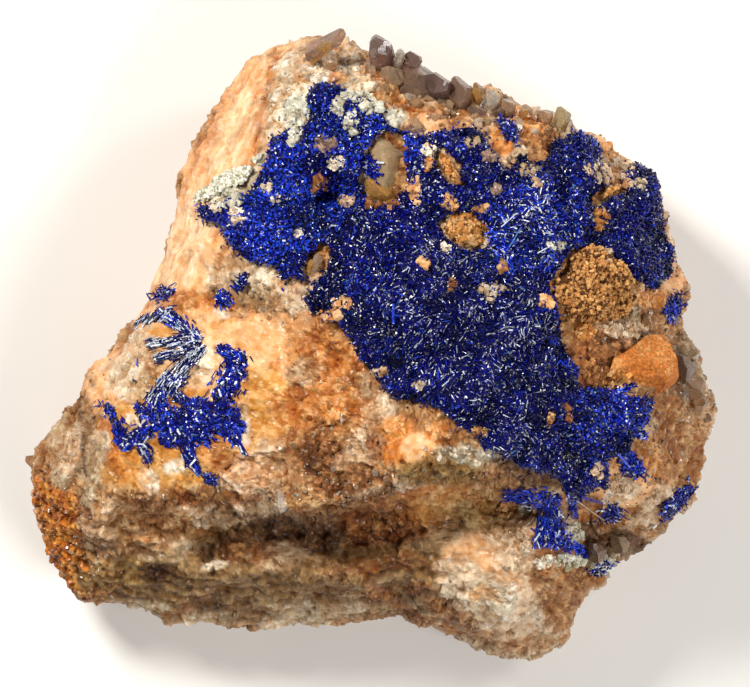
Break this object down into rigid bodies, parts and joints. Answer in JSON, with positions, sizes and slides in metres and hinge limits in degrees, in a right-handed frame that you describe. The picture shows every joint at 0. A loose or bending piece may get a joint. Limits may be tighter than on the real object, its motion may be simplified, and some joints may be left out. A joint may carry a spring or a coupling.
{
  "type": "linarite specimen",
  "caption": "Broken quartz hand specimen lying on its flat back, with a deep blue linarite crust, limonite patches and a spray of linarite blades.",
  "frame": {"origin": "middle of the specimen's outline, on the plane of the flat fracture that it lies on", "axes": "+X to the right of the display face, +Y to its top edge, +Z out of the display face, away from the table"},
  "size_m": [0.0684, 0.0632, 0.033],
  "materials": {
    "rock": "rough broken quartz stained by iron",
    "linarite": "glassy crystal faces",
    "limonite": "earthy, granular",
    "pale_green": "powdery crust",
    "quartz": "clear to smoky crystal"
  },
  "bodies": {
    "root": {"matrix": "rock", "linarite_crust": "linarite", "linarite_spray": "linarite", "linarite_tail": "linarite", "linarite_tuft_foot": "linarite", "linarite_tuft_grey_quartz": "linarite", "linarite_tuft_left_edge": "linarite", "linarite_tuft_lower_right": "linarite", "linarite_tuft_notch": "linarite", "linarite_tuft_pointed": "linarite", "linarite_tuft_right_edge": "linarite", "linarite_tuft_top_shelf": "linarite", "linarite_tuft_upper_left": "linarite", "linarite_tuft_wing": "linarite", "linarite_tuft_wing_foot": "linarite", "limonite_block": "limonite", "limonite_knob": "limonite", "limonite_ribbon": "limonite", "limonite_ribbon_right": "limonite", "limonite_sponge": "limonite", "pale_green_crust": "pale_green", "quartz_crown": "quartz", "quartz_dome": "quartz", "quartz_green": "quartz", "quartz_ledge": "quartz", "quartz_ledge_point": "quartz", "quartz_lens": "quartz", "quartz_notch": "quartz", "quartz_plate": "quartz", "quartz_right": "quartz", "quartz_shoulder": "quartz"}
  },
  "joints": []
}
